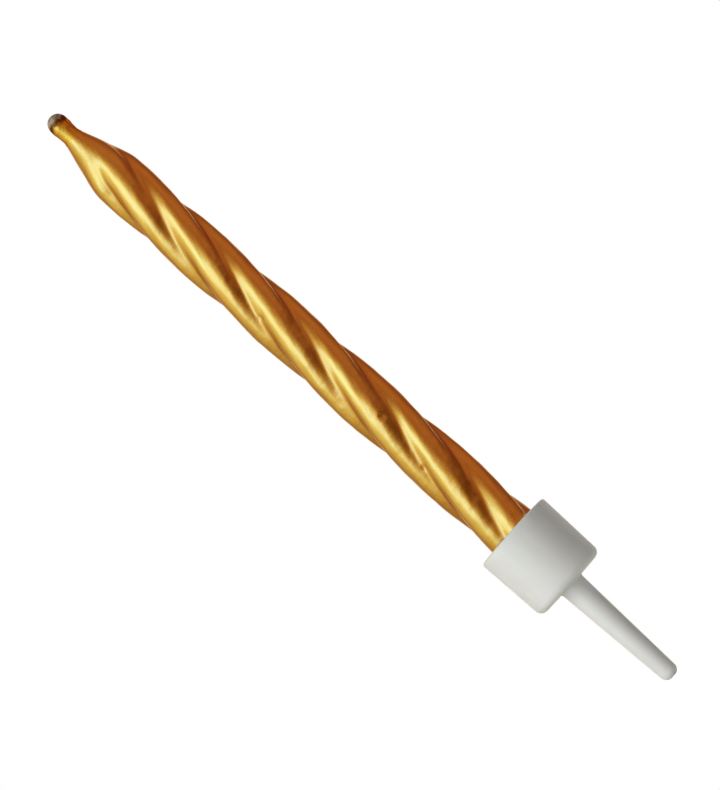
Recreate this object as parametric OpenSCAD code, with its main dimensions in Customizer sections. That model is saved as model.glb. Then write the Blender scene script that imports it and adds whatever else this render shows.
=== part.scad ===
// Twisted birthday candle standing in its moulded cup and spike.
// +Z runs up the candle. The origin is the centre of the cup's underside, which sits on the icing,
// so the spike lies below zero and the cup and candle above it.

/* [Candle] */
// Length of the candle from its flat foot to the tip of its wick
candle_length = 64.8; // [52:0.1:90]
// Diameter over the crests of the lobes at the foot
candle_d = 5.8; // [4.6:0.1:8]
// Diameter over the crests of the lobes just below the shoulder
candle_top_d = 5.4; // [3.6:0.1:8]
// Number of lobes round the candle
lobe_count = 4; // [2:1:6]
// Depth of the creases between the lobes
crease_depth = 0.55; // [0.2:0.05:1]
// Height in which a lobe would wind once round the candle as it winds at the foot
foot_pitch = 45; // [20:0.5:60]
// The same at the tip, where the twist is tighter
tip_pitch = 38; // [20:0.5:60]
// Length of the shoulder, from the neck down to the full diameter
shoulder_length = 6.2; // [5:0.1:14]
// Diameter of the wax at the neck, where the wick comes out
neck_d = 1.85; // [1.5:0.05:2.4]
// Height above the foot over which the creases grow to their full depth
foot_length = 12; // [4:0.5:18]

/* [Wick] */
// Diameter of the cotton wick inside the wax
wick_d = 1.1; // [0.7:0.05:1.2]
// Length of the coated wick end that stands above the neck
wick_end_length = 2.7; // [2:0.1:6]
// Diameter of the coated wick end at its thickest
wick_end_d = 2.15; // [2:0.05:2.6]
// Height of the rounded cap on the coated wick end
wick_cap_length = 1.1; // [0.6:0.1:1.6]

/* [Cup] */
// Height of the cup from its underside to its rim
cup_h = 7.4; // [5:0.1:11]
// Thickness of the cup's wall at the rim
cup_wall = 1.28; // [0.8:0.02:2]
// How much smaller the cup's radius is at its underside than at its rim
cup_draft = 0.12; // [0:0.02:0.3]
// Thickness of the cup's floor under the candle
cup_floor = 1.5; // [1:0.1:2.5]
// Radius of the cup's lower outside corner
cup_corner_r = 0.75; // [0.2:0.05:1]
// Radius of the rim's outer edge
rim_outer_r = 0.25; // [0.05:0.05:0.35]
// Width and height of the bevel that leads the candle into the socket
socket_bevel = 0.2; // [0.05:0.05:0.35]

/* [Spike] */
// Length of the spike below the cup
spike_length = 12.9; // [8:0.1:25]
// Diameter of the spike where it leaves the cup
spike_root_d = 2.65; // [2:0.05:3.4]
// Diameter of the spike near its tip
spike_tip_d = 1.85; // [1.6:0.05:2]
// Radius of the rounding at the spike's tip
spike_tip_r = 0.7; // [0.2:0.05:0.75]
// Radius of the fillet between the spike and the cup
spike_fillet_r = 0.3; // [0.1:0.05:0.5]

/* [Fits] */
// Gap between the crests of the lobes and the wall of the socket
socket_clearance = 0.06; // [0.01:0.01:0.1]
// Gap between the wick and its hole in the wax
wick_clearance = 0.02; // [0.01:0.01:0.05]

/* [Surface quality] */
// Facets round the wax
wax_sides = 48; // [24:12:60]
// Height between two rings of facets on the straight part of the wax
body_ring_step = 0.9; // [0.8:0.05:1.5]
// Height between two rings of facets on the shoulder
shoulder_ring_step = 0.45; // [0.4:0.05:0.8]

/* [Hidden] */

candle_r = candle_d/2;
candle_top_r = candle_top_d/2;
neck_r = neck_d/2;
wick_r = wick_d/2;
wick_end_r = wick_end_d/2;
wick_hole_r = wick_r + wick_clearance;
socket_r = candle_r + socket_clearance;
cup_rim_r = socket_r + cup_wall;
cup_foot_r = cup_rim_r - cup_draft;
spike_root_r = spike_root_d/2;
spike_end_r = spike_tip_d/2;

foot_z = cup_floor;
tip_z = foot_z + candle_length;
neck_z = tip_z - wick_end_length;
shoulder_z = neck_z - shoulder_length;
// Where the coated wick end begins to close over, below its rounded cap
wick_cap_z = tip_z - wick_cap_length;
cut_overrun = socket_bevel;

// The shoulder is part a soft S curve and part a cone that rounds over at its lower end
shoulder_soft_share = 0.4;
shoulder_round_power = 1.5;
// How far down the shoulder the creases start and how far down they are full, as shares of its length
crease_start_share = 0.3;
crease_full_share = 1.15;
// How deep the creases are at the foot, as a share of their full depth
foot_crease_share = 0.6;
// How soft the bottom of a crease is: nearly 0 would make it a sharp V, and more makes it rounder
crease_softness_share = 0.45;
// Facets in a quarter turn of a small rounding
arc_steps = 6;
// Facets in the swelling of the coated wick end
swell_steps = 6;
revolve_sides = 64;

// 0 below t = 0, 1 above t = 1, and a smooth S between
function ease(t) = let (c = min(max(t, 0), 1)) c*c*(3 - 2*c);

// How far the shoulder has grown at a share x of its length, from 0 at the neck to 1 at full diameter
function shoulder_growth(x) =
    let (c = min(max(x, 0), 1))
    shoulder_soft_share*ease(c) + (1 - shoulder_soft_share)*(1 - pow(1 - c, shoulder_round_power));

// Radius over the crests of the plain rod at height z. It tapers evenly from the foot to the shoulder
function rod_r(z) =
    let (up = min(max((z - foot_z)/(shoulder_z - foot_z), 0), 1))
    candle_r + (candle_top_r - candle_r)*up;

// Radius of the lobes' crests at height z, drawn in on the shoulder
function crest_r(z) = neck_r + (rod_r(z) - neck_r)*shoulder_growth((neck_z - z)/shoulder_length);

// How many times a lobe has wound round the candle from the foot up to height z.
// The winding tightens evenly, from foot_pitch at the foot to tip_pitch at the tip
function turns_to(z) =
    let (h = z - foot_z, up = h/candle_length)
    h*((1 - up/2)/foot_pitch + up/2/tip_pitch);

// Depth of the creases at height z
function depth_at(z) =
    let (
        down = (neck_z - z)/shoulder_length,
        top_fade = ease((down - crease_start_share)/(crease_full_share - crease_start_share)),
        foot_fade = foot_crease_share + (1 - foot_crease_share)*ease((z - foot_z)/foot_length)
    )
    crease_depth*top_fade*foot_fade;

// How far into a crease a direction on the untwisted candle lies: 1 at its bottom and 0 on a crest
function crease_share(angle) =
    let (
        side = sin(angle*lobe_count/2),
        soft = crease_softness_share,
        rise = sqrt(side*side + soft*soft) - soft,
        full_rise = sqrt(1 + soft*soft) - soft
    )
    1 - rise/full_rise;

// Radius of the wax at height z, in a direction measured from a crease of the untwisted candle
function lobed_r(z, angle) = crest_r(z) - depth_at(z)*crease_share(angle);

// One ring of points on the wax at height z. The lobes turn with the height, as on a right-hand screw
function wax_ring(z) = [
    for (side = [0:wax_sides - 1])
        let (angle = side*360/wax_sides, r = lobed_r(z, angle), turned = angle + 360*turns_to(z))
        [r*cos(turned), r*sin(turned), z]
];

// Heights of the rings, close together on the shoulder where the outline curves
body_rings = ceil((shoulder_z - foot_z)/body_ring_step);
shoulder_rings = ceil(shoulder_length/shoulder_ring_step);
ring_heights = concat(
    [for (i = [0:body_rings - 1]) foot_z + (shoulder_z - foot_z)*i/body_rings],
    [for (i = [0:shoulder_rings]) shoulder_z + shoulder_length*i/shoulder_rings]
);

// The closed skin between a stack of rings that all have the same number of points
module skin(rings) {
    sides = len(rings[0]);
    last = len(rings) - 1;
    points = [for (ring = rings) for (p = ring) p];
    walls = [
        for (i = [0:last - 1]) for (j = [0:sides - 1])
            let (a = i*sides + j, b = i*sides + (j + 1)%sides, c = a + sides, d = b + sides)
            each [[a, c, b], [b, c, d]]
    ];
    foot = [for (j = [0:sides - 1]) j];
    top = [for (j = [sides - 1:-1:0]) last*sides + j];
    polyhedron(points = points, faces = concat([foot], walls, [top]), convexity = 6);
}

// Points on an arc about [x, y] from one angle to another, both ends included
function arc(x, y, r, from, to) = [
    for (i = [0:arc_steps]) let (a = from + (to - from)*i/arc_steps) [x + r*cos(a), y + r*sin(a)]
];

// Wax: lobes wound round the candle, drawn in at the shoulder, with a hole for the wick from end to end
module wax_body() {
    color("goldenrod")
    difference() {
        skin([for (z = ring_heights) wax_ring(z)]);
        translate([0, 0, foot_z - cut_overrun])
            cylinder(r = wick_hole_r, h = neck_z - foot_z + 2*cut_overrun, $fn = revolve_sides);
    }
}

// Wick: plain cotton inside the wax, and a swollen, rounded end above it where the coating gathers
module wick() {
    swell_length = wick_cap_z - neck_z;
    swelling = [
        for (i = [0:swell_steps])
            let (t = i/swell_steps) [neck_r + (wick_end_r - neck_r)*ease(t), neck_z + swell_length*t]
    ];
    cap = [
        for (i = [1:arc_steps])
            let (a = 90*i/arc_steps) [wick_end_r*cos(a), wick_cap_z + wick_cap_length*sin(a)]
    ];
    color("peru")
    rotate_extrude($fn = revolve_sides)
        polygon(concat([[0, foot_z], [wick_r, foot_z], [wick_r, neck_z]], swelling, cap));
}

// Holder: the cup that grips the candle and the spike that goes into the cake, in one moulding
module holder() {
    underside = arc(spike_root_r + spike_fillet_r, -spike_fillet_r, spike_fillet_r, 180, 90);
    corner = arc(cup_foot_r - cup_corner_r, cup_corner_r, cup_corner_r, -90, 0);
    rim = arc(cup_rim_r - rim_outer_r, cup_h - rim_outer_r, rim_outer_r, 0, 90);
    spike_tip = arc(spike_end_r - spike_tip_r, spike_tip_r - spike_length, spike_tip_r, -90, 0);
    color("whitesmoke")
    difference() {
        rotate_extrude($fn = revolve_sides)
            polygon(concat([[0, -spike_length]], spike_tip, underside, corner, rim, [[0, cup_h]]));
        translate([0, 0, cup_floor])
            cylinder(r = socket_r, h = cup_h - cup_floor + cut_overrun, $fn = revolve_sides);
        translate([0, 0, cup_h - socket_bevel])
            cylinder(
                r1 = socket_r,
                r2 = socket_r + socket_bevel + cut_overrun,
                h = socket_bevel + cut_overrun,
                $fn = revolve_sides
            );
    }
}

wax_body();
wick();
holder();
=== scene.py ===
"""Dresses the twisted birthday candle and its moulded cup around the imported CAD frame.

Sizes in the classes are in millimetres, and meshes are grown in millimetres and brought to metres last.
"""

from __future__ import annotations

import logging
import math
from dataclasses import dataclass, field
from enum import Enum
from typing import Callable, Mapping, Sequence, Union

import bmesh
import bpy
from mathutils import Matrix, Vector


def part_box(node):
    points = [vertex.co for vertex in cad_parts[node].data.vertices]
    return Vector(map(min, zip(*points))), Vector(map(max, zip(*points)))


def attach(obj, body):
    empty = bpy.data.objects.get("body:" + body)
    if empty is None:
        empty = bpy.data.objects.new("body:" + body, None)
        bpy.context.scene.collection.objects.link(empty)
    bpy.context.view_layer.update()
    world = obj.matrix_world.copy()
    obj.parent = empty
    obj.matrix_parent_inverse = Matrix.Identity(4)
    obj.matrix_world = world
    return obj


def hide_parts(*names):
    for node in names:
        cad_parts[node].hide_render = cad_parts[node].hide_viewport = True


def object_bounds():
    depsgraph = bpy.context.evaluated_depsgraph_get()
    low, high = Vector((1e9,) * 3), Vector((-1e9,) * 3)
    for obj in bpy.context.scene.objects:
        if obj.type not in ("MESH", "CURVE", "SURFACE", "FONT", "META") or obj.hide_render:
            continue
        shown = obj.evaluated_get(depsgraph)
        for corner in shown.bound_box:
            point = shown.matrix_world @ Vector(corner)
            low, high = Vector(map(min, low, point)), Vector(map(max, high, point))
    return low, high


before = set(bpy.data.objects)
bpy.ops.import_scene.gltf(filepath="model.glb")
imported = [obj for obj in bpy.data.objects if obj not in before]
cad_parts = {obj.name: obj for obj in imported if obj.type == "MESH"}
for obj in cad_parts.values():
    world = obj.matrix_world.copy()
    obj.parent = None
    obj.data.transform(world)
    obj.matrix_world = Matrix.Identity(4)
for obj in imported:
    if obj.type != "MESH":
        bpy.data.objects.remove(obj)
cad_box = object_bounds()

MM = 0.001
CANDLE_BODY = "candle"
HOLDER_BODY = "holder"
# Height of the picture in pixels, which sets how far away the camera stands
IMAGE_HEIGHT = 790
# Points of a grown skin that lie closer together than this are one, in millimetres
SEAM = 0.0005
WHITE = (1.0, 1.0, 1.0, 1.0)
# How many finer layers a noise has
PLAIN = 1.0
SOFT = 2.0
RAGGED = 3.0

log = logging.getLogger("candle")

Colour = tuple[float, float, float]
Point = tuple[float, float]
Band = tuple[float, float]
Stop = tuple[float, Colour]
Key = Union[str, int]
SizeValue = Union[float, bpy.types.Material]
Operand = Union["Term", bpy.types.NodeSocket, float, int, bool, str, tuple]
Settings = Union[Mapping[str, object], None]
Values = Union[Mapping[Key, Operand], None]


class Slot(Enum):
    """Names of the material slots for the wax, the wick and the moulding."""

    WAX = "gold_lacquered_wax"
    WICK = "lacquered_wick"
    MOULDING = "white_moulding"


class Store(Enum):
    """Attributes that the grown meshes carry for their finishes."""

    CREASE = "crease"
    STRAIGHT = "straight"


class Term:
    """One value in a node tree. Python arithmetic on it adds Math nodes to the tree."""

    def __init__(self, graph: Graph, socket: bpy.types.NodeSocket) -> None:
        """Wraps the output of a node that is in a graph."""
        self.graph = graph
        self.socket = socket

    def __add__(self, other: Operand) -> Term:
        """The sum of both."""
        return self.graph.math("ADD", self, other)

    __radd__ = __add__

    def __sub__(self, other: Operand) -> Term:
        """This value less the other."""
        return self.graph.math("SUBTRACT", self, other)

    def __rsub__(self, other: Operand) -> Term:
        """The other value less this one."""
        return self.graph.math("SUBTRACT", other, self)

    def __mul__(self, other: Operand) -> Term:
        """The product of both."""
        return self.graph.math("MULTIPLY", self, other)

    __rmul__ = __mul__

    def __truediv__(self, other: Operand) -> Term:
        """This value divided by the other."""
        return self.graph.math("DIVIDE", self, other)

    def __rtruediv__(self, other: Operand) -> Term:
        """The other value divided by this one."""
        return self.graph.math("DIVIDE", other, self)

    def __pow__(self, other: Operand) -> Term:
        """This value raised to the other."""
        return self.graph.math("POWER", self, other)

    def __rpow__(self, other: Operand) -> Term:
        """The other value raised to this one."""
        return self.graph.math("POWER", other, self)


class Graph:
    """Adds nodes to one node tree, of a material, a world or a geometry modifier."""

    def __init__(self, tree: bpy.types.NodeTree) -> None:
        """Starts on the tree that the nodes go into."""
        self.tree = tree

    @classmethod
    def of(cls, owner: Union[bpy.types.Material, bpy.types.World]) -> Graph:
        """Clears the nodes of a material or a world.

        Args:
            owner: The material or the world.

        Returns:
            Its empty graph.
        """
        owner.use_nodes = True
        owner.node_tree.nodes.clear()
        return cls(owner.node_tree)

    def node(self, kind: str, settings: Settings = None, values: Values = None) -> bpy.types.Node:
        """Adds one node. Its settings are made before its sockets are filled.

        Args:
            kind: The node's type.
            settings: The node's own settings by name. A colour ramp takes its stops under "stops".
            values: Numbers, colours, names or links, by the name or place of the input.

        Returns:
            The node.
        """
        made = self.tree.nodes.new(kind)
        for name, value in (settings or {}).items():
            if name == "stops":
                self.set_stops(made.color_ramp, value)
            else:
                setattr(made, name, value)
        for name, value in (values or {}).items():
            self.feed(made.inputs[name], value)
        return made

    def feed(self, socket: bpy.types.NodeSocket, value: Operand) -> None:
        """Links a value to an input, or writes it there.

        Args:
            socket: The input.
            value: A term or an output to link, or a plain value.
        """
        if isinstance(value, Term):
            self.tree.links.new(value.socket, socket)
        elif isinstance(value, bpy.types.NodeSocket):
            self.tree.links.new(value, socket)
        else:
            socket.default_value = value

    def set_stops(self, ramp: bpy.types.ColorRamp, stops: Sequence[Stop]) -> None:
        """Gives a colour ramp its stops.

        Args:
            ramp: The ramp, which has two stops to begin with.
            stops: Places and colours, from the lowest place up.
        """
        while len(ramp.elements) < len(stops):
            ramp.elements.new(1.0)
        for element, (place, colour) in zip(ramp.elements, stops):
            element.position = place
            element.color = (*colour, 1.0)

    def term(self, kind: str, settings: Settings = None, values: Values = None, output: Key = 0) -> Term:
        """Adds one node, as above, and gives the output that has this name or place."""
        return Term(self, self.node(kind, settings, values).outputs[output])

    def math(self, operation: str, *operands: Operand) -> Term:
        """Adds one Math node on its operands, in their order."""
        return self.term("ShaderNodeMath", {"operation": operation}, dict(enumerate(operands)))

    def circle(self, angle: Term) -> tuple[Term, Term]:
        """The cosine and the sine of an angle."""
        return self.math("COSINE", angle), self.math("SINE", angle)

    def clamp(self, value: Operand) -> Term:
        """The value kept between 0 and 1."""
        return self.term("ShaderNodeClamp", None, {0: value, 1: 0.0, 2: 1.0})

    def ease(self, value: Operand) -> Term:
        """0 below 0, 1 above 1 and a smooth S between."""
        kept = self.clamp(value)
        return kept * kept * (3.0 - 2.0 * kept)

    def ramp(self, value: Term, low: float, high: float) -> Term:
        """A smooth step from 0 where the value is low to 1 where it is high."""
        return self.ease((value - low) / (high - low))

    def vector(self, operation: str, first: Operand, second: Operand, output: Key = 0) -> Term:
        """Adds one Vector Math node on two vectors and gives one of its outputs."""
        return self.term("ShaderNodeVectorMath", {"operation": operation}, {0: first, 1: second}, output)

    def combine(self, x: Operand, y: Operand, z: Operand) -> Term:
        """A vector of three values."""
        return self.term("ShaderNodeCombineXYZ", None, {0: x, 1: y, 2: z})

    def split(self, vector: Term) -> list[Term]:
        """The three values of a vector."""
        return [Term(self, part) for part in self.node("ShaderNodeSeparateXYZ", None, {0: vector}).outputs]

    def noise(self, vector: Term, scale: float, detail: float = SOFT) -> Term:
        """Soft noise from 0 to 1 about 0.5, with so many swells in one unit and so many finer layers."""
        return self.term("ShaderNodeTexNoise", None, {"Vector": vector, "Scale": scale, "Detail": detail})

    def here(self) -> Term:
        """Where a point is on its object, in metres."""
        return self.term("ShaderNodeTexCoord", None, None, "Object")

    def drawn_out(self, vector: Term, share: float) -> Term:
        """A place whose height counts only for a share, so that a pattern read there is drawn out along Z."""
        return self.vector("MULTIPLY", vector, (1.0, 1.0, share))

    def mix(self, share: Operand, first: Union[Term, Colour], second: Union[Term, Colour]) -> Term:
        """Mixes two colours.

        Args:
            share: 0 for the first colour and 1 for the second.
            first: A colour or a term that holds one.
            second: A colour or a term that holds one.

        Returns:
            The mixed colour.
        """
        made = self.node("ShaderNodeMix", {"data_type": "RGBA"}, {0: share})
        for place, colour in ((6, first), (7, second)):
            self.feed(made.inputs[place], colour if isinstance(colour, Term) else (*colour, 1.0))
        return Term(self, made.outputs[2])


class Form(Graph):
    """A geometry tree in the making, whose inputs are the sizes of one piece."""

    def __init__(self, name: str, sizes: Mapping[str, SizeValue]) -> None:
        """Makes the tree and its inputs.

        Args:
            name: Name of the piece.
            sizes: The inputs by name, with the value that this piece gives each.
        """
        super().__init__(bpy.data.node_groups.new(name + "_form", "GeometryNodeTree"))
        face = self.tree.interface
        face.new_socket("Geometry", in_out="OUTPUT", socket_type="NodeSocketGeometry")
        self.given: dict[str, SizeValue] = {}
        for label, value in sizes.items():
            kind = "NodeSocketMaterial" if isinstance(value, bpy.types.Material) else "NodeSocketFloat"
            self.given[face.new_socket(label, in_out="INPUT", socket_type=kind).identifier] = value
        entry = self.node("NodeGroupInput")
        self.size = {label: Term(self, entry.outputs[label]) for label in sizes}

    def store(self, mesh: Term, name: Store, kind: str, value: Term) -> Term:
        """Keeps a FLOAT or a FLOAT_VECTOR at each point of a mesh, for the finish to read."""
        values = {"Geometry": mesh, "Name": name.value, "Value": value}
        return self.term("GeometryNodeStoreNamedAttribute", {"data_type": kind, "domain": "POINT"}, values)

    def move(self, geometry: Term, place: Term) -> Term:
        """Puts each point of a mesh or a curve in its place."""
        return self.term("GeometryNodeSetPosition", None, {"Geometry": geometry, "Position": place})

    def finish(self, mesh: Term) -> Term:
        """Closes a skin's seams, smooths it, brings it to metres and gives it the piece's material.

        Args:
            mesh: The skin, in millimetres.

        Returns:
            The finished geometry.
        """
        closed = self.term("GeometryNodeMergeByDistance", None, {"Geometry": mesh, "Distance": SEAM})
        smooth = self.term("GeometryNodeSetShadeSmooth", None, {"Geometry": closed, "Shade Smooth": True})
        metric = self.term("GeometryNodeTransform", None, {"Geometry": smooth, "Scale": (MM, MM, MM)})
        real = self.term("GeometryNodeRealizeInstances", None, {"Geometry": metric})
        dressed = {"Geometry": real, "Material": self.size["Material"]}
        return self.term("GeometryNodeSetMaterial", None, dressed)


def new_object(name: str, data: bpy.types.ID) -> bpy.types.Object:
    """Puts a new object in the scene.

    Args:
        name: Its name.
        data: Its mesh, lamp or camera.

    Returns:
        The object, at the origin.
    """
    made = bpy.data.objects.new(name, data)
    bpy.context.scene.collection.objects.link(made)
    return made


def grow(name: str, sizes: Mapping[str, SizeValue], build: Callable[[Form], Term]) -> bpy.types.Object:
    """Runs a geometry node tree once and keeps its result as a plain mesh.

    Args:
        name: Name of the piece.
        sizes: The tree's inputs by name, with the value that this piece gives each.
        build: Adds the nodes and returns the finished geometry.

    Returns:
        The piece, at the origin and in metres.
    """
    form = Form(name, sizes)
    form.node("NodeGroupOutput", None, {0: build(form)})
    piece = new_object(name, bpy.data.meshes.new(name + "_start"))
    modifier = piece.modifiers.new("form", "NODES")
    modifier.node_group = form.tree
    for identifier, value in form.given.items():
        modifier[identifier] = value
    depsgraph = bpy.context.evaluated_depsgraph_get()
    grown = bpy.data.meshes.new_from_object(piece.evaluated_get(depsgraph), depsgraph=depsgraph)
    piece.modifiers.remove(modifier)
    piece.data = grown
    grown.name = name
    return piece


@dataclass
class SkinRows:
    """Stretches of rows on a grid that wraps a rod, in the order in which they follow on its skin."""

    sides: int
    stretches: tuple[int, ...]

    def wrap(self, form: Form) -> tuple[Term, Term, list[Term]]:
        """Adds the grid and works out where each of its points lies on the skin.

        Args:
            form: The tree that the grid goes into.

        Returns:
            The grid, the angle round the rod, and how far each stretch is covered, from 0 to 1.
        """
        rows = sum(self.stretches)
        spans = {"Size X": 1.0, "Size Y": 1.0, "Vertices X": self.sides + 1, "Vertices Y": rows + 1}
        grid = form.term("GeometryNodeMeshGrid", None, spans)
        x, y, _ = form.split(form.term("GeometryNodeInputPosition"))
        row = (y + 0.5) * float(rows)
        starts = [sum(self.stretches[:i]) for i in range(len(self.stretches))]
        covered = [form.clamp((row - start) / count) for start, count in zip(starts, self.stretches)]
        return grid, (x + 0.5) * math.tau, covered


@dataclass(frozen=True)
class Dent:
    """A small hollow in the wax, at a height, at an angle round the candle and so wide and deep."""

    z: float
    degrees: float
    reach: float
    depth: float


@dataclass
class Shoulder:
    """The outline of the wax: a rod that tapers from the foot and is drawn in to the neck."""

    foot_z: float
    neck_z: float
    tip_z: float
    foot_d: float = 5.8
    top_d: float = 5.4
    neck_d: float = 1.85
    length: float = 6.2
    soft_share: float = 0.4
    round_power: float = 1.5

    @classmethod
    def from_frame(cls) -> Shoulder:
        """Takes the outline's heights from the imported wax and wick.

        Returns:
            The outline.
        """
        wax_low, wax_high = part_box("wax_body")
        _, wick_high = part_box("wick")
        return cls(foot_z=wax_low.z / MM, neck_z=wax_high.z / MM, tip_z=wick_high.z / MM)

    def sizes(self) -> dict[str, SizeValue]:
        """Gives the outline to a tree.

        Returns:
            Its sizes, under the names of the tree's inputs.
        """
        return {
            "Foot Height": self.foot_z,
            "Neck Height": self.neck_z,
            "Foot Radius": self.foot_d / 2,
            "Top Radius": self.top_d / 2,
            "Neck Radius": self.neck_d / 2,
            "Shoulder Length": self.length,
        }

    def crest(self, form: Form, z: Term) -> Term:
        """The radius over the crests at a height.

        Args:
            form: The tree to add to.
            z: The height.

        Returns:
            The radius.
        """
        size = form.size
        rod_height = size["Neck Height"] - size["Shoulder Length"] - size["Foot Height"]
        up = form.clamp((z - size["Foot Height"]) / rod_height)
        rod = size["Foot Radius"] + (size["Top Radius"] - size["Foot Radius"]) * up
        down = form.clamp((size["Neck Height"] - z) / size["Shoulder Length"])
        cone = 1.0 - (1.0 - down) ** self.round_power
        growth = self.soft_share * form.ease(down) + (1.0 - self.soft_share) * cone
        return size["Neck Radius"] + (rod - size["Neck Radius"]) * growth


@dataclass
class TwistedWax:
    """The wax: lobes wound round the candle as a right-hand screw, with creases between them.

    The creases wander a little and their crests are broad. Slow lumps, faint lines drawn along the lobes and
    a few dents break up the skin, apart from the foot and the neck.
    """

    outline: Shoulder
    lobes: int = 4
    crease_depth: float = 0.55
    crease_softness: float = 0.45
    crest_breadth: float = 1.35
    foot_pitch: float = 45.0
    tip_pitch: float = 38.0
    foot_length: float = 12.0
    foot_crease_share: float = 0.6
    crease_start_share: float = 0.3
    crease_full_share: float = 1.15
    bore_d: float = 1.14
    wander: float = 0.22
    wander_scale: float = 1.0
    wander_rate: float = 0.16
    lump_depth: float = 0.13
    lump_scale: float = 0.45
    drawn_depth: float = 0.02
    drawn_scale: float = 1.7
    drawn_share: float = 0.05
    plain_foot_share: float = 0.08
    rows: SkinRows = field(default_factory=lambda: SkinRows(sides=144, stretches=(6, 620, 3, 8)))
    dents: tuple[Dent, ...] = (
        Dent(z=38.4, degrees=318.0, reach=0.5, depth=0.09),
        Dent(z=23.6, degrees=338.0, reach=0.6, depth=0.1),
        Dent(z=17.5, degrees=312.0, reach=0.5, depth=0.08),
        Dent(z=27.3, degrees=140.0, reach=0.6, depth=0.1),
        Dent(z=49.0, degrees=190.0, reach=0.5, depth=0.09),
    )

    def turns_to(self, form: Form, z: Term) -> Term:
        """How often a lobe has wound round from the foot up to a height. It tightens evenly.

        Args:
            form: The tree to add to.
            z: The height.

        Returns:
            The number of turns.
        """
        height = z - form.size["Foot Height"]
        up = height / form.size["Candle Length"]
        return height * ((1.0 - up / 2.0) / form.size["Foot Pitch"] + up / 2.0 / form.size["Tip Pitch"])

    def crease_at(self, form: Form, angle: Term, z: Term) -> tuple[Term, Term]:
        """How far into a crease a point is, and how deep the creases are at its height.

        Args:
            form: The tree to add to.
            angle: The angle round the untwisted candle.
            z: The height.

        Returns:
            1 at the bottom of a crease and 0 on a crest, and the depth.
        """
        size = form.size
        drift = form.noise(form.combine(*form.circle(angle), z * self.wander_rate), self.wander_scale)
        side = form.math("SINE", (angle + (drift - 0.5) * self.wander) * size["Lobes"] / 2.0)
        soft = self.crease_softness
        full = math.hypot(1.0, soft) - soft
        sunk = 1.0 - (form.math("SQRT", side * side + soft * soft) - soft) / full
        crease = form.clamp(sunk) ** self.crest_breadth
        down = (size["Neck Height"] - z) / size["Shoulder Length"]
        top_fade = form.ramp(down, self.crease_start_share, self.crease_full_share)
        rise = form.ease((z - size["Foot Height"]) / size["Foot Length"])
        foot_fade = self.foot_crease_share + (1.0 - self.foot_crease_share) * rise
        return crease, size["Crease Depth"] * top_fade * foot_fade

    def hollows(self, form: Form, at: Term) -> Term:
        """How deep the dents are at a point.

        Args:
            form: The tree to add to.
            at: The point, on the candle before the dents are pressed in.

        Returns:
            The depth.
        """
        radius = self.outline.top_d / 2
        depths = []
        for dent in self.dents:
            turn = math.radians(dent.degrees)
            centre = (radius * math.cos(turn), radius * math.sin(turn), dent.z)
            away = form.vector("DISTANCE", at, centre, "Value")
            depths.append(dent.depth * form.ease(1.0 - away / dent.reach))
        return sum(depths[1:], depths[0])

    def grow_skin(self, form: Form) -> Term:
        """Adds the nodes that wind the lobes, and keeps what their finish reads while the grid is still flat.

        Args:
            form: The tree to add to.

        Returns:
            The finished geometry.
        """
        size = form.size
        grid, angle, (foot, side, top, bore) = self.rows.wrap(form)
        out, up = foot - top, side - bore
        z = size["Foot Height"] + (size["Neck Height"] - size["Foot Height"]) * up
        crest = self.outline.crest(form, z)
        crease, depth = self.crease_at(form, angle, z)
        across, along = form.circle(angle + self.turns_to(form, z) * math.tau)
        on_rod = form.combine(crest * across, crest * along, z)
        plain_across, plain_along = form.circle(angle)
        straight = form.combine(size["Top Radius"] * plain_across, size["Top Radius"] * plain_along, z)
        lumps = form.noise(on_rod, self.lump_scale, RAGGED) * size["Lump Depth"]
        lines = form.noise(form.drawn_out(straight, self.drawn_share), self.drawn_scale, PLAIN)
        drawn = lines * size["Drawn Depth"]
        grown = (crest - size["Neck Radius"]) / (size["Top Radius"] - size["Neck Radius"])
        body = form.ramp(up, 0.0, self.plain_foot_share) * form.ease(grown)
        skin = crest - crease * depth - (lumps + drawn) * body - self.hollows(form, on_rod) * body
        radius = size["Bore Radius"] + (skin - size["Bore Radius"]) * out
        kept = form.store(grid, Store.CREASE, "FLOAT", crease * depth / size["Crease Depth"])
        kept = form.store(kept, Store.STRAIGHT, "FLOAT_VECTOR", straight)
        return form.finish(form.move(kept, form.combine(radius * across, radius * along, z)))

    def build(self, finish: bpy.types.Material) -> bpy.types.Object:
        """Grows the wax, which stands for the CAD's faceted wax.

        Args:
            finish: The material.

        Returns:
            The piece.
        """
        sizes = self.outline.sizes() | {
            "Candle Length": self.outline.tip_z - self.outline.foot_z,
            "Lobes": float(self.lobes),
            "Crease Depth": self.crease_depth,
            "Foot Pitch": self.foot_pitch,
            "Tip Pitch": self.tip_pitch,
            "Foot Length": self.foot_length,
            "Bore Radius": self.bore_d / 2,
            "Lump Depth": self.lump_depth,
            "Drawn Depth": self.drawn_depth,
            "Material": finish,
        }
        piece = grow("twisted_wax", sizes, self.grow_skin)
        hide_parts("wax_body")
        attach(piece, CANDLE_BODY)
        return piece


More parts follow.
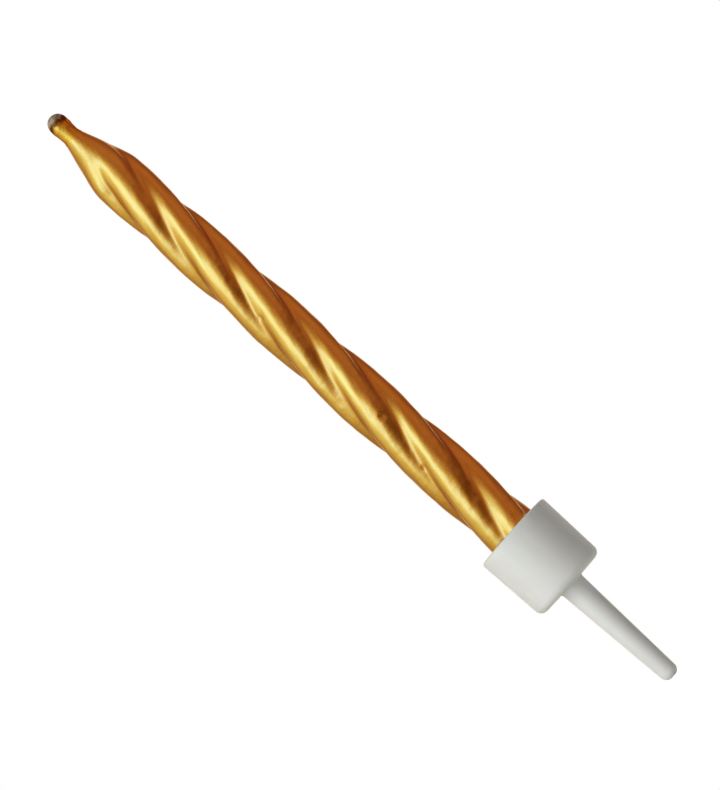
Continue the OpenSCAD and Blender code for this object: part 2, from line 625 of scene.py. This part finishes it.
@dataclass
class CoatedWick:
    """The wick: plaited cotton through the wax, and the coated knob that stands out of the neck.

    The knob swells and its lumps and slit deepen from the neck up, at their own rates. Its film comes out of
    the wax below the neck, and the slit's half width is an angle in radians.
    """

    outline: Shoulder
    end_d: float = 2.15
    cap_length: float = 1.1
    lap: float = 0.6
    film: float = 0.02
    film_start: float = -0.03
    film_rise_share: float = 0.125
    swell_rate: float = 1.3
    relief_rate: float = 1.6
    lump_depth: float = 0.16
    lump_scale: float = 1.2
    lump_share: float = 0.8
    slit_degrees: float = 40.0
    slit_depth: float = 0.14
    slit_half_width: float = 0.28
    cotton_d: float = 1.08
    yarns: int = 3
    yarn_d: float = 0.38
    yarn_shift: float = 0.03
    plait_pitch: float = 2.6
    plait_flatness: float = 0.5
    foot_gap: float = 0.2
    neck_gap: float = 0.01
    yarn_steps: int = 430
    yarn_sides: int = 8
    rows: SkinRows = field(default_factory=lambda: SkinRows(sides=72, stretches=(4, 8, 70, 24)))

    def grow_coat(self, form: Form) -> Term:
        """Adds the nodes of the lacquered knob, which stands on the neck and laps over it as a thin film.

        Args:
            form: The tree to add to.

        Returns:
            The finished geometry.
        """
        size = form.size
        grid, angle, (seat, down, side, cap) = self.rows.wrap(form)
        neck, cap_z = size["Neck Height"], size["Tip Height"] - size["Cap Length"]
        low = neck - size["Lap"]
        cap_out, cap_up = form.circle(cap * (math.pi / 2))
        z = neck - size["Lap"] * down + (cap_z - low) * side + size["Cap Length"] * cap_up
        film = self.film_start + (size["Film"] - self.film_start) * form.ease(side / self.film_rise_share)
        above = form.clamp((z - neck) / (cap_z - neck))
        knob = (size["End Radius"] - size["Neck Radius"]) * form.ease(above * self.swell_rate)
        across, along = form.circle(angle)
        round_knob = form.combine(across, along, z * self.lump_share)
        lumps = form.noise(round_knob, self.lump_scale) * size["Lump Depth"]
        from_slit = form.math("ABSOLUTE", form.math("WRAP", angle - size["Slit Angle"], math.pi, -math.pi))
        slit = size["Slit Depth"] * form.ease(1.0 - from_slit / self.slit_half_width)
        relief = (lumps + slit) * form.ease(above * self.relief_rate)
        radius = (self.outline.crest(form, z) + film + knob - relief) * seat * cap_out
        return form.finish(form.move(grid, form.combine(radius * across, radius * along, z)))

    def build_coat(self, finish: bpy.types.Material) -> bpy.types.Object:
        """Grows the coated knob.

        Args:
            finish: The material.

        Returns:
            The piece.
        """
        sizes = self.outline.sizes() | {
            "Tip Height": self.outline.tip_z,
            "End Radius": self.end_d / 2,
            "Cap Length": self.cap_length,
            "Lump Depth": self.lump_depth,
            "Slit Angle": math.radians(self.slit_degrees),
            "Slit Depth": self.slit_depth,
            "Lap": self.lap,
            "Film": self.film,
            "Material": finish,
        }
        piece = grow("wick_coat", sizes, self.grow_coat)
        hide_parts("wick")
        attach(piece, CANDLE_BODY)
        return piece

    def grow_cotton(self, form: Form) -> Term:
        """Adds the nodes that plait the yarns along the wick.

        Args:
            form: The tree to add to.

        Returns:
            The finished geometry.
        """
        size = form.size
        spans = {"Start": (0.0, 0.0, 0.0), "End": (0.0, 0.0, 1.0)}
        line = form.term("GeometryNodeCurvePrimitiveLine", None, spans)
        fine = form.term("GeometryNodeResampleCurve", None, {"Curve": line, "Count": self.yarn_steps})
        ring_sizes = {"Resolution": self.yarn_sides, "Radius": size["Yarn Radius"]}
        ring = form.term("GeometryNodeCurvePrimitiveCircle", None, ring_sizes)
        up = form.split(form.term("GeometryNodeInputPosition"))[2]
        z = size["Foot Height"] + (size["Neck Height"] - size["Foot Height"]) * up
        reach = size["Cotton Radius"] - size["Yarn Radius"]
        joined = form.node("GeometryNodeJoinGeometry")
        for yarn in range(self.yarns):
            phase = (z / size["Plait Pitch"] + yarn / self.yarns) * math.tau
            across = form.math("SINE", phase) * reach
            over = form.math("SINE", phase * 2.0) * reach * self.plait_flatness
            path = form.move(fine, form.combine(across, over, z - yarn * self.yarn_shift))
            tube_sizes = {"Curve": path, "Profile Curve": ring, "Fill Caps": True}
            form.feed(joined.inputs[0], form.term("GeometryNodeCurveToMesh", None, tube_sizes))
        return form.finish(Term(form, joined.outputs[0]))

    def build_cotton(self, finish: bpy.types.Material) -> bpy.types.Object:
        """Plaits the cotton.

        Args:
            finish: The material.

        Returns:
            The piece.
        """
        sizes = {
            "Foot Height": self.outline.foot_z + self.foot_gap,
            "Neck Height": self.outline.neck_z - self.neck_gap,
            "Cotton Radius": self.cotton_d / 2,
            "Yarn Radius": self.yarn_d / 2,
            "Plait Pitch": self.plait_pitch,
            "Material": finish,
        }
        piece = grow("wick_cotton", sizes, self.grow_cotton)
        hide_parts("wick")
        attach(piece, CANDLE_BODY)
        return piece


@dataclass
class MouldedHolder:
    """The cup and its spike, one injection moulding with a faint parting line on its outside."""

    rim_r: float
    cup_h: float
    spike_length: float
    draft: float = 0.12
    wall: float = 1.28
    floor: float = 1.5
    corner_r: float = 0.75
    rim_outer_r: float = 0.25
    rim_inner_r: float = 0.2
    socket_corner_r: float = 0.2
    root_d: float = 2.65
    tip_d: float = 1.85
    tip_r: float = 0.7
    fillet_r: float = 0.3
    arc_steps: int = 9
    sides: int = 168
    support: float = 0.05
    parting_degrees: float = 38.0
    parting_height: float = 0.02
    parting_half_width: float = 0.05
    parting_margin: float = 0.1

    @classmethod
    def from_frame(cls) -> MouldedHolder:
        """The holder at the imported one's height and width."""
        low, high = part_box("holder")
        return cls(rim_r=high.x / MM, cup_h=high.z / MM, spike_length=-low.z / MM)

    def arc(self, x: float, y: float, r: float, start: float, end: float) -> list[Point]:
        """Points on an arc about a centre, from one angle to another in degrees, both ends included."""
        turns = [math.radians(start + (end - start) * i / self.arc_steps) for i in range(self.arc_steps + 1)]
        return [(x + r * math.cos(t), y + r * math.sin(t)) for t in turns]

    def profile(self) -> list[Point]:
        """Draws the half outline of the moulding.

        Returns:
            Its points, from the spike's tip round the cup and down to the middle of its floor.
        """
        foot_r = self.rim_r - self.draft
        root_r, end_r, socket_r = self.root_d / 2, self.tip_d / 2, self.rim_r - self.wall
        outer, inner, well = self.rim_outer_r, self.rim_inner_r, self.socket_corner_r
        runs = [
            [(0.0, -self.spike_length)],
            self.arc(end_r - self.tip_r, self.tip_r - self.spike_length, self.tip_r, -90, 0),
            self.arc(root_r + self.fillet_r, -self.fillet_r, self.fillet_r, 180, 90),
            self.arc(foot_r - self.corner_r, self.corner_r, self.corner_r, -90, 0),
            self.arc(self.rim_r - outer, self.cup_h - outer, outer, 0, 90),
            self.arc(socket_r + inner, self.cup_h - inner, inner, 90, 180),
            self.arc(socket_r - well, self.floor + well, well, 0, -90),
            [(0.0, self.floor)],
        ]
        points = list(runs[0])
        for run in runs[1:]:
            points += self.supports(points[-1], run[0]) + run
        return points

    def supports(self, start: Point, end: Point) -> list[Point]:
        """Two points just inside the ends of a straight run, which keep its shading flat.

        Args:
            start: Where the run starts.
            end: Where it ends.

        Returns:
            The two points, or none on a short run.
        """
        length = math.dist(start, end)
        if length < 3 * self.support:
            return []
        shares = (self.support / length, 1 - self.support / length)
        return [tuple(a + (b - a) * share for a, b in zip(start, end)) for share in shares]

    def columns(self) -> list[Point]:
        """Spaces the columns of points round the holder, with three close together at each parting line.

        Returns:
            Their angles, with how far each stands proud.
        """
        even = [(360.0 * i / self.sides, 0.0) for i in range(self.sides)]
        half = math.degrees(self.parting_half_width / self.rim_r)
        for middle in (self.parting_degrees, self.parting_degrees + 180):
            even = [column for column in even if abs(column[0] - middle) > 2 * half]
            even += [(middle - half, 0.0), (middle, self.parting_height), (middle + half, 0.0)]
        return sorted(even)

    def is_outside(self, r: float, z: float) -> bool:
        """Whether a point of the outline lies where the parting line shows, outside and below the rim."""
        past_socket = r > self.rim_r - self.wall + self.parting_margin
        return z < self.cup_h - self.rim_outer_r and (past_socket or z < 0)

    def build(self, finish: bpy.types.Material) -> bpy.types.Object:
        """Turns the profile round the axis.

        Args:
            finish: The material.

        Returns:
            The piece.
        """
        profile, columns = self.profile(), self.columns()
        inner = profile[1:-1]
        points = []
        for degrees, proud in columns:
            turn = math.radians(degrees)
            for r, z in inner:
                reach = r + (proud if self.is_outside(r, z) else 0.0)
                points.append((reach * math.cos(turn) * MM, reach * math.sin(turn) * MM, z * MM))
        low, high = len(points), len(points) + 1
        points += [(0.0, 0.0, profile[0][1] * MM), (0.0, 0.0, profile[-1][1] * MM)]
        count, rows = len(columns), len(inner)
        faces = []
        for i in range(count):
            here, there = i * rows, (i + 1) % count * rows
            faces += [(here + j, there + j, there + j + 1, here + j + 1) for j in range(rows - 1)]
            faces += [(low, there, here), (high, here + rows - 1, there + rows - 1)]
        mesh = bpy.data.meshes.new("moulded_holder")
        mesh.from_pydata(points, [], faces)
        mesh.shade_smooth()
        mesh.materials.append(finish)
        piece = new_object("moulded_holder", mesh)
        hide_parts("holder")
        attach(piece, HOLDER_BODY)
        return piece


class Surface:
    """One material in the making, with its shader and the place of each point in millimetres."""

    def __init__(self, name: str) -> None:
        """Starts a material.

        Args:
            name: Its name.
        """
        self.material = bpy.data.materials.new(name)
        self.graph = Graph.of(self.material)
        self.shader = self.graph.node("ShaderNodeBsdfPrincipled")
        self.graph.node("ShaderNodeOutputMaterial", None, {0: self.shader.outputs[0]})

    def place(self) -> Term:
        """Where a point is on its object, in millimetres."""
        values = {0: self.graph.here(), "Scale": 1 / MM}
        return self.graph.term("ShaderNodeVectorMath", {"operation": "SCALE"}, values)

    def kept(self, name: Store, output: str) -> Term:
        """What the mesh carries under a name, as its "Fac" or its "Vector"."""
        return self.graph.term("ShaderNodeAttribute", {"attribute_name": name.value}, None, output)

    def fill(self, **values: Operand) -> None:
        """Fills the shader's sockets.

        Args:
            values: What each takes, by its name with underscores for spaces.
        """
        for name, value in values.items():
            colour = isinstance(value, tuple)
            self.graph.feed(self.shader.inputs[name.replace("_", " ")], (*value, 1.0) if colour else value)

    def bump(self, height: Term, distance: float) -> None:
        """Gives the surface a relief, where a height of 1 stands for a distance in millimetres."""
        values = {"Height": height, "Distance": distance * MM, "Strength": 1.0}
        self.graph.feed(self.shader.inputs["Normal"], self.graph.term("ShaderNodeBump", None, values))


@dataclass(frozen=True)
class GoldLacquer:
    """Bright metallic gold lacquer over wax, darker and redder in the creases, partly pooled lacquer and
    partly painted shade.

    Streaks follow the lobes, and a fine grain of flakes is coarser in some patches. A scale is in swells for
    each millimetre, and a band says between which values of its pattern a change happens.
    """

    bright: Colour = (0.87, 0.56, 0.085)
    deep: Colour = (0.84, 0.45, 0.04)
    # Crease colour: pooled lacquer, plus painted shade where the creases are shaded
    pooled_with_crease_shade: Colour = (0.72, 0.33, 0.02)
    edge: Colour = (0.75, 0.4, 0.25)
    rough: float = 0.2
    rough_spread: float = 0.12
    patch_rough: float = 0.1
    coat: float = 0.9
    coat_ior: float = 1.8
    coat_rough: float = 0.12
    streak_scale: float = 1.8
    streak_share: float = 0.1
    streak_weight: float = 0.6
    mottle_scale: float = 0.55
    tone_band: Band = (0.3, 0.7)
    patch_scale: float = 0.14
    patch_band: Band = (0.5, 0.68)
    crease_shade_band: Band = (0.35, 1.0)
    crease_shade_weight: float = 0.5
    flake_size: float = 0.11
    flake_weight: float = 0.08
    patch_weight: float = 0.35
    fine_scale: float = 4.0
    fine_weight: float = 0.3
    relief: float = 0.014

    def material(self) -> bpy.types.Material:
        """Makes the finish of the wax.

        Returns:
            The material.
        """
        made = Surface("gold_lacquer")
        g = made.graph
        place, straight = made.place(), made.kept(Store.STRAIGHT, "Vector")
        crease = made.kept(Store.CREASE, "Fac")
        streaks = g.noise(g.drawn_out(straight, self.streak_share), self.streak_scale)
        mottle = g.noise(place, self.mottle_scale, RAGGED)
        patches = g.ramp(g.noise(place, self.patch_scale, PLAIN), *self.patch_band)
        flake_values = {"Vector": place, "Scale": 1 / self.flake_size}
        dull, high, _ = g.split(g.term("ShaderNodeTexVoronoi", None, flake_values, "Color"))
        shade = streaks * self.streak_weight + mottle * (1.0 - self.streak_weight)
        tone = g.mix(g.ramp(shade, *self.tone_band), self.deep, self.bright)
        # Painted crease shade, partly pooled lacquer: darker, redder colour where the creases are deepest
        pool_and_shade = g.ramp(crease, *self.crease_shade_band)
        made.fill(
            Base_Color=g.mix(pool_and_shade * self.crease_shade_weight, tone, self.pooled_with_crease_shade),
            Metallic=1.0,
            Roughness=self.rough + self.rough_spread * mottle + self.patch_rough * patches * dull,
            Specular_Tint=self.edge,
            Coat_Weight=self.coat,
            Coat_IOR=self.coat_ior,
            Coat_Roughness=self.coat_rough,
        )
        fine = g.noise(place, self.fine_scale)
        flakes = high * (self.flake_weight + self.patch_weight * patches)
        made.bump(streaks + fine * self.fine_weight + flakes, self.relief)
        return made.material


@dataclass(frozen=True)
class KnobLacquer:
    """The lacquer on the wick's knob: brown where it is thin, dark in a band, and worn off at the very end.

    The bands of bare and brown say how far below and above their own heights they fade in, with ragged edges.
    """

    tip_z: float
    gold: Colour = (0.84, 0.47, 0.055)
    brown: Colour = (0.2, 0.06, 0.012)
    bare: Colour = (0.43, 0.37, 0.26)
    soot: Colour = (0.2, 0.14, 0.08)
    edge: Colour = (0.62, 0.3, 0.16)
    bare_length: float = 0.8
    bare_band: Band = (-0.12, 0.16)
    bare_metal: float = 0.1
    brown_length: float = 0.4
    brown_band: Band = (-0.35, 0.15)
    ragged_scale: float = 1.7
    ragged_reach: float = 1.1
    mottle_scale: float = 1.6
    mottle_middle: float = 0.45
    mottle_weight: float = 0.9
    soot_scale: float = 3.4
    soot_band: Band = (0.46, 0.66)
    rough: float = 0.26
    rough_spread: float = 0.15
    bare_rough: float = 0.25
    coat: float = 0.2
    coat_rough: float = 0.15
    fine_scale: float = 5.0
    fine_weight: float = 0.6
    relief: float = 0.03

    def material(self) -> bpy.types.Material:
        """Makes the finish of the knob.

        Returns:
            The material.
        """
        made = Surface("knob_lacquer")
        g = made.graph
        place = made.place()
        z = g.split(place)[2]
        ragged = z + (g.noise(place, self.ragged_scale, RAGGED) - 0.5) * self.ragged_reach
        bare_z = self.tip_z - self.bare_length
        brown_z = bare_z - self.brown_length
        bare = g.ramp(ragged, *(bare_z + edge for edge in self.bare_band))
        brown = g.ramp(ragged, *(brown_z + edge for edge in self.brown_band))
        mottle = g.noise(place, self.mottle_scale, RAGGED)
        thin = g.clamp(brown + (mottle - self.mottle_middle) * self.mottle_weight)
        sooty = g.ramp(g.noise(place, self.soot_scale, RAGGED), *self.soot_band)
        coated, worn = g.mix(thin, self.gold, self.brown), g.mix(sooty, self.bare, self.soot)
        made.fill(
            Base_Color=g.mix(bare, coated, worn),
            Metallic=1.0 - (1.0 - self.bare_metal) * bare,
            Roughness=self.rough + self.rough_spread * mottle + self.bare_rough * bare,
            Specular_Tint=self.edge,
            Coat_Weight=self.coat,
            Coat_Roughness=self.coat_rough,
        )
        fine = g.noise(place, self.fine_scale, RAGGED)
        made.bump(fine * self.fine_weight + mottle * (1.0 - self.fine_weight), self.relief)
        return made.material


@dataclass(frozen=True)
class Cotton:
    """Waxed cotton yarn, greyish where it was cut."""

    pale: Colour = (0.55, 0.52, 0.45)
    dark: Colour = (0.3, 0.27, 0.22)
    fibre_scale: float = 14.0
    fibre_share: float = 0.25
    fibre_band: Band = (0.3, 0.7)
    rough: float = 0.75
    sheen: float = 0.2
    relief: float = 0.03

    def material(self) -> bpy.types.Material:
        """Makes the finish of the yarns.

        Returns:
            The material.
        """
        made = Surface("waxed_cotton")
        g = made.graph
        fibres = g.noise(g.drawn_out(made.place(), self.fibre_share), self.fibre_scale, RAGGED)
        made.fill(
            Base_Color=g.mix(g.ramp(fibres, *self.fibre_band), self.dark, self.pale),
            Roughness=self.rough,
            Sheen_Weight=self.sheen,
        )
        made.bump(fibres, self.relief)
        return made.material


@dataclass(frozen=True)
class SatinMoulding:
    """Satin off-white plastic with faint flow marks."""

    pale: Colour = (0.8, 0.81, 0.775)
    warm: Colour = (0.77, 0.775, 0.72)
    flow_scale: float = 0.5
    flow_share: float = 0.35
    flow_band: Band = (0.35, 0.7)
    skin_scale: float = 7.0
    skin_weight: float = 0.5
    rough: float = 0.36
    rough_spread: float = 0.12
    glow_weight: float = 0.12
    glow_depth: float = 0.6
    relief: float = 0.006

    def material(self) -> bpy.types.Material:
        """Makes the finish of the holder.

        Returns:
            The material.
        """
        made = Surface("satin_moulding")
        g = made.graph
        place = made.place()
        flow = g.noise(g.drawn_out(place, self.flow_share), self.flow_scale, RAGGED)
        skin = g.noise(place, self.skin_scale)
        made.fill(
            Base_Color=g.mix(g.ramp(flow, *self.flow_band), self.pale, self.warm),
            Roughness=self.rough + self.rough_spread * flow,
            Subsurface_Weight=self.glow_weight,
            Subsurface_Scale=self.glow_depth * MM,
        )
        made.bump(skin * self.skin_weight + flow * (1.0 - self.skin_weight), self.relief)
        return made.material


@dataclass(frozen=True)
class Surroundings:
    """The bright cool side and the dim warm side that the gold reflects, on a shell round the candle.

    Each stop is a direction round the candle, in degrees from the viewer with the right positive, and the
    colour there, level with the candle or below it. Steeply below lies pale ground, with the candle's own
    shade straight underneath. A band says between which heights the next of these comes in, as shares of the
    shell's radius. Only reflections see all this, so it casts no shade and no tint on the floor.
    """

    level: tuple[Stop, ...] = (
        (-180.0, (0.95, 0.86, 0.62)),
        (-158.0, (0.8, 0.68, 0.44)),
        (-138.0, (0.46, 0.32, 0.19)),
        (-118.0, (0.48, 0.34, 0.2)),
        (-90.0, (0.74, 0.68, 0.38)),
        (-66.0, (0.88, 0.93, 0.64)),
        (-50.0, (1.19, 1.65, 2.4)),
        (-26.0, (1.19, 1.65, 2.4)),
        (-8.0, (0.78, 0.76, 0.5)),
        (12.0, (0.5, 0.3, 0.16)),
        (34.0, (0.36, 0.15, 0.08)),
        (66.0, (0.46, 0.2, 0.1)),
        (94.0, (0.4, 0.16, 0.085)),
        (118.0, (0.26, 0.095, 0.055)),
        (138.0, (0.27, 0.1, 0.06)),
        (158.0, (0.8, 0.68, 0.44)),
        (180.0, (0.95, 0.86, 0.62)),
    )
    below: tuple[Stop, ...] = (
        (-180.0, (0.78, 0.66, 0.42)),
        (-158.0, (0.6, 0.46, 0.27)),
        (-138.0, (0.28, 0.15, 0.07)),
        (-118.0, (0.28, 0.15, 0.07)),
        (-84.0, (0.46, 0.34, 0.17)),
        (-48.0, (0.78, 0.76, 0.46)),
        (-26.0, (0.6, 0.44, 0.24)),
        (-4.0, (0.33, 0.14, 0.055)),
        (26.0, (0.13, 0.042, 0.022)),
        (84.0, (0.1, 0.035, 0.016)),
        (138.0, (0.1, 0.035, 0.016)),
        (158.0, (0.6, 0.46, 0.27)),
        (180.0, (0.78, 0.66, 0.42)),
    )
    ground: Colour = (0.88, 0.84, 0.6)
    shade: Colour = (0.3, 0.2, 0.1)
    below_band: Band = (0.07, -0.33)
    ground_band: Band = (-0.5, -0.8)
    ground_weight: float = 0.85
    shade_band: Band = (-0.8, -0.97)
    reach: float = 600.0
    divisions: int = 4

    def around(self, graph: Graph, turn: Term, stops: Sequence[Stop]) -> Term:
        """The colour in a direction, whose turn runs from 0 at -180 degrees to 1 at 180 degrees."""
        places = [(degrees / 360.0 + 0.5, colour) for degrees, colour in stops]
        return graph.term("ShaderNodeValToRGB", {"stops": places}, {0: turn})

    def build(self, centre: Vector, right: Vector, back: Vector) -> None:
        """Args:
            centre: The middle of the candle, in metres.
            right: The direction to the viewer's right.
            back: The direction to the viewer.
        """
        mesh = bpy.data.meshes.new("surroundings")
        shell = bmesh.new()
        radius, around = self.reach * MM, Matrix.Translation(centre)
        bmesh.ops.create_icosphere(shell, subdivisions=self.divisions, radius=radius, matrix=around)
        shell.to_mesh(mesh)
        shell.free()
        material = bpy.data.materials.new("surroundings")
        graph = Graph.of(material)
        x, y, z = graph.split(graph.vector("SUBTRACT", graph.here(), tuple(centre)))
        turn = graph.math("ARCTAN2", x * right.x + y * right.y, x * back.x + y * back.y) / math.tau + 0.5
        height = z / radius
        low = graph.ramp(height, *self.below_band)
        sides = graph.mix(low, self.around(graph, turn, self.level), self.around(graph, turn, self.below))
        ground = graph.mix(graph.ramp(height, *self.shade_band), self.ground, self.shade)
        colour = graph.mix(graph.ramp(height, *self.ground_band) * self.ground_weight, sides, ground)
        glow = graph.term("ShaderNodeEmission", None, {"Color": colour})
        graph.node("ShaderNodeOutputMaterial", None, {0: glow})
        mesh.materials.append(material)
        obj = new_object("surroundings", mesh)
        obj.visible_camera = obj.visible_diffuse = obj.visible_transmission = obj.visible_shadow = False


@dataclass(frozen=True)
class Lamp:
    """A soft rectangular lamp, whose size is its width round the candle and its length along it.

    Its degrees say how far round the candle it stands from the viewer, with the right positive. Its climb is
    how far towards the tip it stands, in degrees, and its power is in watts.
    """

    name: str
    degrees: float
    climb: float
    power: float
    distance: float = 330.0
    size: Point = (180.0, 330.0)


@dataclass
class Studio:
    """The floor, lamps, surroundings and camera. The camera looks square at the candle, which lies across."""

    low: Vector
    high: Vector
    azimuth: float = 70.0
    climb_degrees: float = -4.2
    lean_degrees: float = 48.05
    lens: float = 240.0
    pixels_per_mm: float = 10.6
    sensor: float = 36.0
    nearest: float = 10.0
    farthest: float = 10000.0
    fill_level: float = 0.24
    floor_size: float = 1500.0
    floor_tone: float = 0.8
    floor_glow: float = 0.68
    shadow_reach: float = 110.0
    lamps: tuple[Lamp, ...] = (Lamp("key", -48.0, 12.0, 0.9), Lamp("back", 150.0, 20.0, 0.42))

    def centre(self) -> Vector:
        """The middle of the part, in metres."""
        return (self.low + self.high) / 2

    def axes(self) -> tuple[Vector, Vector, Vector]:
        """Works out the directions by which the studio is laid out.

        Returns:
            From the candle to the viewer's right, up along the candle, and to the viewer.
        """
        turn = math.radians(self.azimuth)
        right = Vector((math.cos(turn), math.sin(turn), 0.0))
        back = Vector((math.sin(turn), -math.cos(turn), 0.0))
        return right, Vector((0.0, 0.0, 1.0)), back

    def aim(self, obj: bpy.types.Object, place: Vector, up: Vector) -> None:
        """Puts the camera or a lamp at a place, with its -Z towards the middle of the part.

        Args:
            obj: The camera or lamp.
            place: Where it goes, in millimetres.
            up: The direction that its +Y is turned to.
        """
        back = (place - self.centre() / MM).normalized()
        side = up.cross(back).normalized()
        turn = Matrix((side, back.cross(side), back)).transposed().to_4x4()
        obj.matrix_world = Matrix.Translation(place * MM) @ turn

    def camera(self) -> None:
        """Makes the camera, level with the cup and turned so that the tip points up and to the left."""
        data = bpy.data.cameras.new("camera")
        data.lens, data.sensor_width = self.lens, self.sensor
        data.clip_start, data.clip_end = self.nearest * MM, self.farthest * MM
        right, along, back = self.axes()
        lean, climb = math.radians(self.lean_degrees), math.radians(self.climb_degrees)
        up = right * math.sin(lean) + along * math.cos(lean)
        distance = self.lens * IMAGE_HEIGHT / (self.sensor * self.pixels_per_mm)
        place = self.centre() / MM + (back * math.cos(climb) + along * math.sin(climb)) * distance
        obj = new_object("camera", data)
        bpy.context.scene.camera = obj
        self.aim(obj, place, up)

    def light(self, lamp: Lamp) -> None:
        """Sets a lamp up. Reflections don't show it.

        Args:
            lamp: The lamp.
        """
        data = bpy.data.lights.new(lamp.name, "AREA")
        data.shape = "RECTANGLE"
        data.size, data.size_y = lamp.size[0] * MM, lamp.size[1] * MM
        data.energy = lamp.power
        obj = new_object(lamp.name, data)
        obj.visible_glossy = False
        right, along, back = self.axes()
        round_to, rise = math.radians(lamp.degrees), math.radians(lamp.climb)
        level = back * math.cos(round_to) + right * math.sin(round_to)
        place = self.centre() / MM + (level * math.cos(rise) + along * math.sin(rise)) * lamp.distance
        self.aim(obj, place, along)

    def seen(self, graph: Graph) -> Term:
        """Tells the rays that the eye sees by from those that only light things.

        Args:
            graph: The graph to add to.

        Returns:
            1 for rays from the camera, in a reflection or through glass, and 0 for the others.
        """
        path = graph.node("ShaderNodeLightPath")
        rays = ("Is Camera Ray", "Is Glossy Ray", "Is Transmission Ray")
        camera, mirrored, through = (Term(graph, path.outputs[ray]) for ray in rays)
        return graph.clamp(camera + mirrored + through)

    def world(self) -> None:
        """Makes the background white to the eye, and a plain soft level to the light."""
        world = bpy.data.worlds.new("studio")
        graph = Graph.of(world)
        strength = self.fill_level + (1.0 - self.fill_level) * self.seen(graph)
        sky = graph.term("ShaderNodeBackground", None, {"Color": WHITE, "Strength": strength})
        graph.node("ShaderNodeOutputWorld", None, {0: sky})
        bpy.context.scene.world = world

    def floor_material(self) -> bpy.types.Material:
        """Makes the floor's finish: pale and faintly glowing near the candle, white to the eye farther off.

        Returns:
            The material.
        """
        material = bpy.data.materials.new("pale_floor")
        graph = Graph.of(material)
        x, y, _ = graph.split(graph.here())
        away = graph.math("SQRT", x * x + y * y)
        near = 1.0 - graph.ease(away / (self.shadow_reach * MM))
        tone = self.floor_tone
        matt = graph.term("ShaderNodeBsdfDiffuse", None, {"Color": (tone, tone, tone, 1.0)})
        glow = graph.term("ShaderNodeEmission", None, {"Color": WHITE, "Strength": self.floor_glow})
        caught = graph.term("ShaderNodeAddShader", None, {0: matt, 1: glow})
        white = graph.term("ShaderNodeEmission", None, {"Color": WHITE, "Strength": 1.0})
        shown = graph.term("ShaderNodeMixShader", None, {0: near, 1: white, 2: caught})
        both = graph.term("ShaderNodeMixShader", None, {0: self.seen(graph), 1: matt, 2: shown})
        graph.node("ShaderNodeOutputMaterial", None, {0: both})
        return material

    def floor(self) -> None:
        """Lays the plain floor under the spike. Reflections don't show it."""
        half, z = self.floor_size / 2 * MM, self.low.z
        corners = [(-half, -half, z), (half, -half, z), (half, half, z), (-half, half, z)]
        mesh = bpy.data.meshes.new("floor")
        mesh.from_pydata(corners, [], [(0, 1, 2, 3)])
        mesh.materials.append(self.floor_material())
        obj = new_object("floor", mesh)
        obj.visible_glossy = False

    def build(self) -> None:
        """Sets the studio up."""
        self.world()
        self.floor()
        self.camera()
        for lamp in self.lamps:
            self.light(lamp)
        right, _, back = self.axes()
        Surroundings().build(self.centre(), right, back)
        bpy.context.scene.view_settings.view_transform = "Standard"


def main() -> None:
    """Builds the pieces in order, then the studio round them."""
    logging.basicConfig(level=logging.INFO, format="%(name)s: %(message)s")
    outline = Shoulder.from_frame()
    wick = CoatedWick(outline)
    pieces = (
        TwistedWax(outline).build(GoldLacquer().material()),
        wick.build_coat(KnobLacquer(outline.tip_z).material()),
        wick.build_cotton(Cotton().material()),
        MouldedHolder.from_frame().build(SatinMoulding().material()),
    )
    for piece in pieces:
        log.info("%s: %d faces", piece.name, len(piece.data.polygons))
    Studio(*cad_box).build()


if __name__ == "__main__":
    main()
